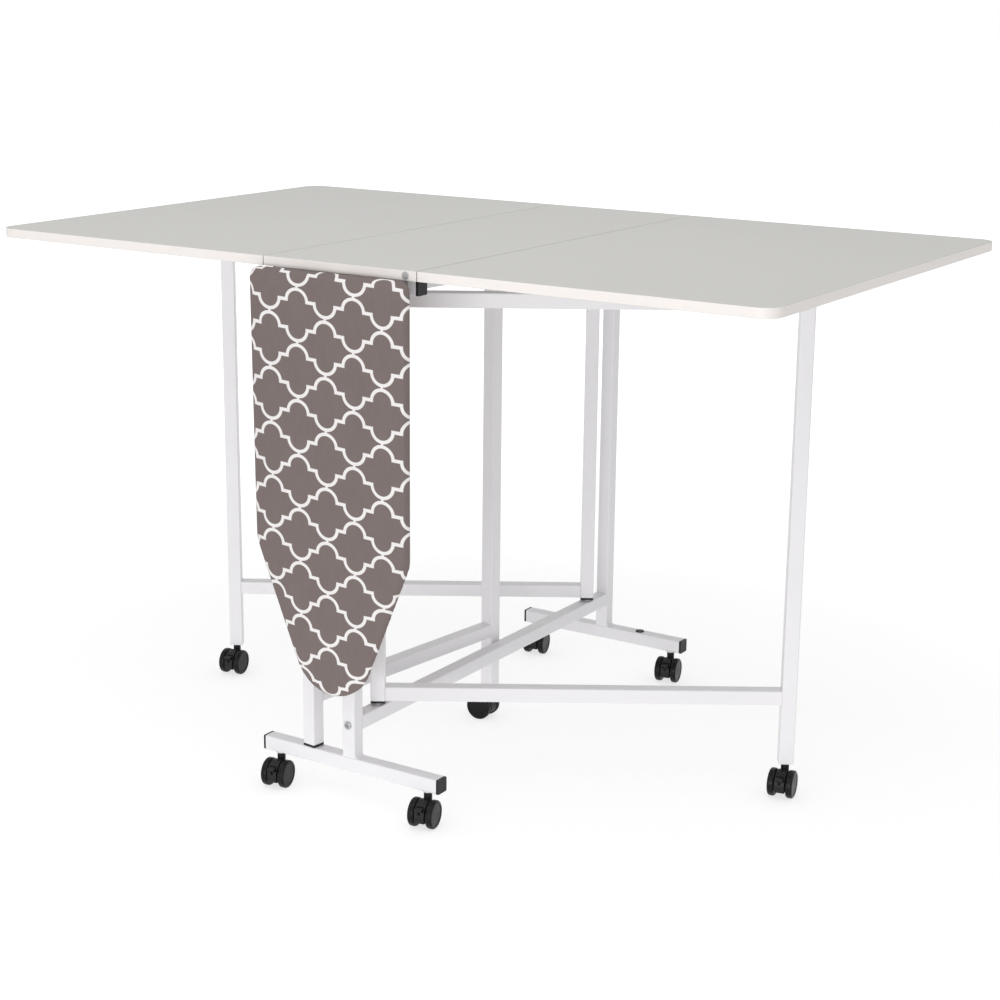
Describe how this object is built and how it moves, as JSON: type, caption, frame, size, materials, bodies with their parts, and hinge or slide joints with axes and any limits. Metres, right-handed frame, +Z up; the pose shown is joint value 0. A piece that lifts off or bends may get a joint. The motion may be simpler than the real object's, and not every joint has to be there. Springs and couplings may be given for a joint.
{
  "type": "sewing cutting table",
  "caption": "Folding sewing and cutting table on casters: fixed centre panel, drop leaves on swinging gate legs, and a padded ironing board hinged at one end.",
  "frame": {"origin": "on the floor, in the middle of the whole outline with the hanging ironing board included", "axes": "+X along the open table's length, +Y from the ironing board's end to the far end, +Z up"},
  "size_m": [1.4804, 0.932, 0.91],
  "materials": {
    "top_laminate": "light warm grey laminate on chipboard, off-white edging",
    "white_frame": "white powder coat, satin",
    "black_plastic": "black moulded plastic, satin",
    "wheel_plastic": "black moulded plastic wheels",
    "zinc_steel": "zinc-plated steel",
    "cover_fabric": "taupe cotton with an off-white quatrefoil trellis print, padded",
    "deck_board": "plain board under the cover"
  },
  "bodies": {
    "frame": {"centre_panel": "top_laminate", "leaf_hinge_plates": "zinc_steel", "panel_screws": "zinc_steel", "near_foot_bar": "white_frame", "far_foot_bar": "white_frame", "near_post": "white_frame", "far_post": "white_frame", "near_top_bar": "white_frame", "far_top_bar": "white_frame", "lower_stretcher": "white_frame", "upper_stretcher": "white_frame", "frame_caps": "black_plastic", "spare_hole_plug": "black_plastic", "frame_bolts": "zinc_steel", "gate_pivot_pins": "zinc_steel", "ironing_hinge_brackets": "zinc_steel"},
    "right_leaf": {"right_leaf": "top_laminate", "right_hinge_flaps": "zinc_steel"},
    "left_leaf": {"left_leaf": "top_laminate", "left_hinge_flaps": "zinc_steel"},
    "right_gate": {"right_gate_pivot_post": "white_frame", "right_gate_outer_post": "white_frame", "right_gate_lower_rail": "white_frame", "right_gate_upper_rail": "white_frame", "right_gate_post_caps": "black_plastic"},
    "left_gate": {"left_gate_pivot_post": "white_frame", "left_gate_outer_post": "white_frame", "left_gate_lower_rail": "white_frame", "left_gate_upper_rail": "white_frame", "left_gate_post_caps": "black_plastic"},
    "ironing_gate": {"ironing_gate_pivot_post": "white_frame", "ironing_gate_outer_post": "white_frame", "ironing_gate_lower_rail": "white_frame", "ironing_gate_upper_rail": "white_frame", "ironing_gate_post_caps": "black_plastic"},
    "ironing_board": {"ironing_deck": "deck_board", "ironing_cover": "cover_fabric", "ironing_hinge_straps": "zinc_steel"},
    "near_left_caster_body": {"near_left_caster_body": "black_plastic"},
    "near_left_caster_wheels": {"near_left_caster_wheels": "wheel_plastic"},
    "near_left_caster_brake": {"near_left_caster_brake": "black_plastic"},
    "near_right_caster_body": {"near_right_caster_body": "black_plastic"},
    "near_right_caster_wheels": {"near_right_caster_wheels": "wheel_plastic"},
    "near_right_caster_brake": {"near_right_caster_brake": "black_plastic"},
    "far_left_caster_body": {"far_left_caster_body": "black_plastic"},
    "far_left_caster_wheels": {"far_left_caster_wheels": "wheel_plastic"},
    "far_left_caster_brake": {"far_left_caster_brake": "black_plastic"},
    "far_right_caster_body": {"far_right_caster_body": "black_plastic"},
    "far_right_caster_wheels": {"far_right_caster_wheels": "wheel_plastic"},
    "far_right_caster_brake": {"far_right_caster_brake": "black_plastic"},
    "right_gate_caster_body": {"right_gate_caster_body": "black_plastic"},
    "right_gate_caster_wheels": {"right_gate_caster_wheels": "wheel_plastic"},
    "right_gate_caster_brake": {"right_gate_caster_brake": "black_plastic"},
    "left_gate_caster_body": {"left_gate_caster_body": "black_plastic"},
    "left_gate_caster_wheels": {"left_gate_caster_wheels": "wheel_plastic"},
    "left_gate_caster_brake": {"left_gate_caster_brake": "black_plastic"},
    "ironing_gate_caster_body": {"ironing_gate_caster_body": "black_plastic"},
    "ironing_gate_caster_wheels": {"ironing_gate_caster_wheels": "wheel_plastic"},
    "ironing_gate_caster_brake": {"ironing_gate_caster_brake": "black_plastic"}
  },
  "joints": [
    {"name": "right_leaf_lift", "type": "hinge", "parent": "frame", "child": "right_leaf", "pos_m": [0.1486, 0.018, 0.8897], "axis": [0, -1, 0], "range_deg": [0, 2.5]},
    {"name": "left_leaf_lift", "type": "hinge", "parent": "frame", "child": "left_leaf", "pos_m": [-0.1486, 0.018, 0.8897], "axis": [0, 1, 0], "range_deg": [0, 2.5]},
    {"name": "right_gate_swing", "type": "hinge", "parent": "frame", "child": "right_gate", "pos_m": [0, -0.33, 0.154], "axis": [0, 0, 1], "range_deg": [-32.5, 54.3]},
    {"name": "left_gate_swing", "type": "hinge", "parent": "frame", "child": "left_gate", "pos_m": [0, 0.366, 0.154], "axis": [0, 0, 1], "range_deg": [-32.5, 46.8]},
    {"name": "ironing_gate_swing", "type": "hinge", "parent": "frame", "child": "ironing_gate", "pos_m": [-0.082, -0.4025, 0.085], "axis": [0, 0, 1], "range_deg": [0, 110]},
    {"name": "ironing_board_raise", "type": "hinge", "parent": "frame", "child": "ironing_board", "pos_m": [0, -0.44025, 0.88425], "axis": [-1, 0, 0], "range_deg": [0, 90]},
    {"name": "near_left_swivel", "type": "hinge", "parent": "frame", "child": "near_left_caster_body", "pos_m": [-0.152, -0.4025, 0.057], "axis": [0, 0, 1], "continuous": true},
    {"name": "near_left_roll", "type": "hinge", "parent": "near_left_caster_body", "child": "near_left_caster_wheels", "pos_m": [-0.14947, -0.41627, 0.024], "axis": [0.9836, 0.1805, 0], "continuous": true},
    {"name": "near_left_brake_press", "type": "hinge", "parent": "near_left_caster_body", "child": "near_left_caster_brake", "pos_m": [-0.14713, -0.42906, 0.038], "axis": [0.9836, 0.1805, 0], "range_deg": [0, 14]},
    {"name": "near_right_swivel", "type": "hinge", "parent": "frame", "child": "near_right_caster_body", "pos_m": [0.152, -0.4025, 0.057], "axis": [0, 0, 1], "continuous": true},
    {"name": "near_right_roll", "type": "hinge", "parent": "near_right_caster_body", "child": "near_right_caster_wheels", "pos_m": [0.15453, -0.41627, 0.024], "axis": [0.9836, 0.1805, 0], "continuous": true},
    {"name": "near_right_brake_press", "type": "hinge", "parent": "near_right_caster_body", "child": "near_right_caster_brake", "pos_m": [0.15687, -0.42906, 0.038], "axis": [0.9836, 0.1805, 0], "range_deg": [0, 14]},
    {"name": "far_left_swivel", "type": "hinge", "parent": "frame", "child": "far_left_caster_body", "pos_m": [-0.152, 0.4385, 0.057], "axis": [0, 0, 1], "continuous": true},
    {"name": "far_left_roll", "type": "hinge", "parent": "far_left_caster_body", "child": "far_left_caster_wheels", "pos_m": [-0.14947, 0.42473, 0.024], "axis": [0.9836, 0.1805, 0], "continuous": true},
    {"name": "far_left_brake_press", "type": "hinge", "parent": "far_left_caster_body", "child": "far_left_caster_brake", "pos_m": [-0.14713, 0.41194, 0.038], "axis": [0.9836, 0.1805, 0], "range_deg": [0, 14]},
    {"name": "far_right_swivel", "type": "hinge", "parent": "frame", "child": "far_right_caster_body", "pos_m": [0.152, 0.4385, 0.057], "axis": [0, 0, 1], "continuous": true},
    {"name": "far_right_roll", "type": "hinge", "parent": "far_right_caster_body", "child": "far_right_caster_wheels", "pos_m": [0.15453, 0.42473, 0.024], "axis": [0.9836, 0.1805, 0], "continuous": true},
    {"name": "far_right_brake_press", "type": "hinge", "parent": "far_right_caster_body", "child": "far_right_caster_brake", "pos_m": [0.15687, 0.41194, 0.038], "axis": [0.9836, 0.1805, 0], "range_deg": [0, 14]},
    {"name": "right_gate_swivel", "type": "hinge", "parent": "right_gate", "child": "right_gate_caster_body", "pos_m": [0.58194, 0.04074, 0.057], "axis": [0, 0, 1], "continuous": true},
    {"name": "right_gate_roll", "type": "hinge", "parent": "right_gate_caster_body", "child": "right_gate_caster_wheels", "pos_m": [0.58447, 0.02697, 0.024], "axis": [0.9836, 0.1805, 0], "continuous": true},
    {"name": "right_gate_brake_press", "type": "hinge", "parent": "right_gate_caster_body", "child": "right_gate_caster_brake", "pos_m": [0.58681, 0.01418, 0.038], "axis": [0.9836, 0.1805, 0], "range_deg": [0, 14]},
    {"name": "left_gate_swivel", "type": "hinge", "parent": "left_gate", "child": "left_gate_caster_body", "pos_m": [-0.58194, -0.00474, 0.057], "axis": [0, 0, 1], "continuous": true},
    {"name": "left_gate_roll", "type": "hinge", "parent": "left_gate_caster_body", "child": "left_gate_caster_wheels", "pos_m": [-0.57941, -0.01851, 0.024], "axis": [0.9836, 0.1805, 0], "continuous": true},
    {"name": "left_gate_brake_press", "type": "hinge", "parent": "left_gate_caster_body", "child": "left_gate_caster_brake", "pos_m": [-0.57707, -0.03129, 0.038], "axis": [0.9836, 0.1805, 0], "range_deg": [0, 14]},
    {"name": "ironing_gate_swivel", "type": "hinge", "parent": "ironing_gate", "child": "ironing_gate_caster_body", "pos_m": [-0.02689, 0.05922, 0.057], "axis": [0, 0, 1], "continuous": true},
    {"name": "ironing_gate_roll", "type": "hinge", "parent": "ironing_gate_caster_body", "child": "ironing_gate_caster_wheels", "pos_m": [-0.04088, 0.05874, 0.024], "axis": [0.0349, -0.9994, 0], "continuous": true},
    {"name": "ironing_gate_brake_press", "type": "hinge", "parent": "ironing_gate_caster_body", "child": "ironing_gate_caster_brake", "pos_m": [-0.05388, 0.05828, 0.038], "axis": [0.0349, -0.9994, 0], "range_deg": [0, 14]}
  ]
}
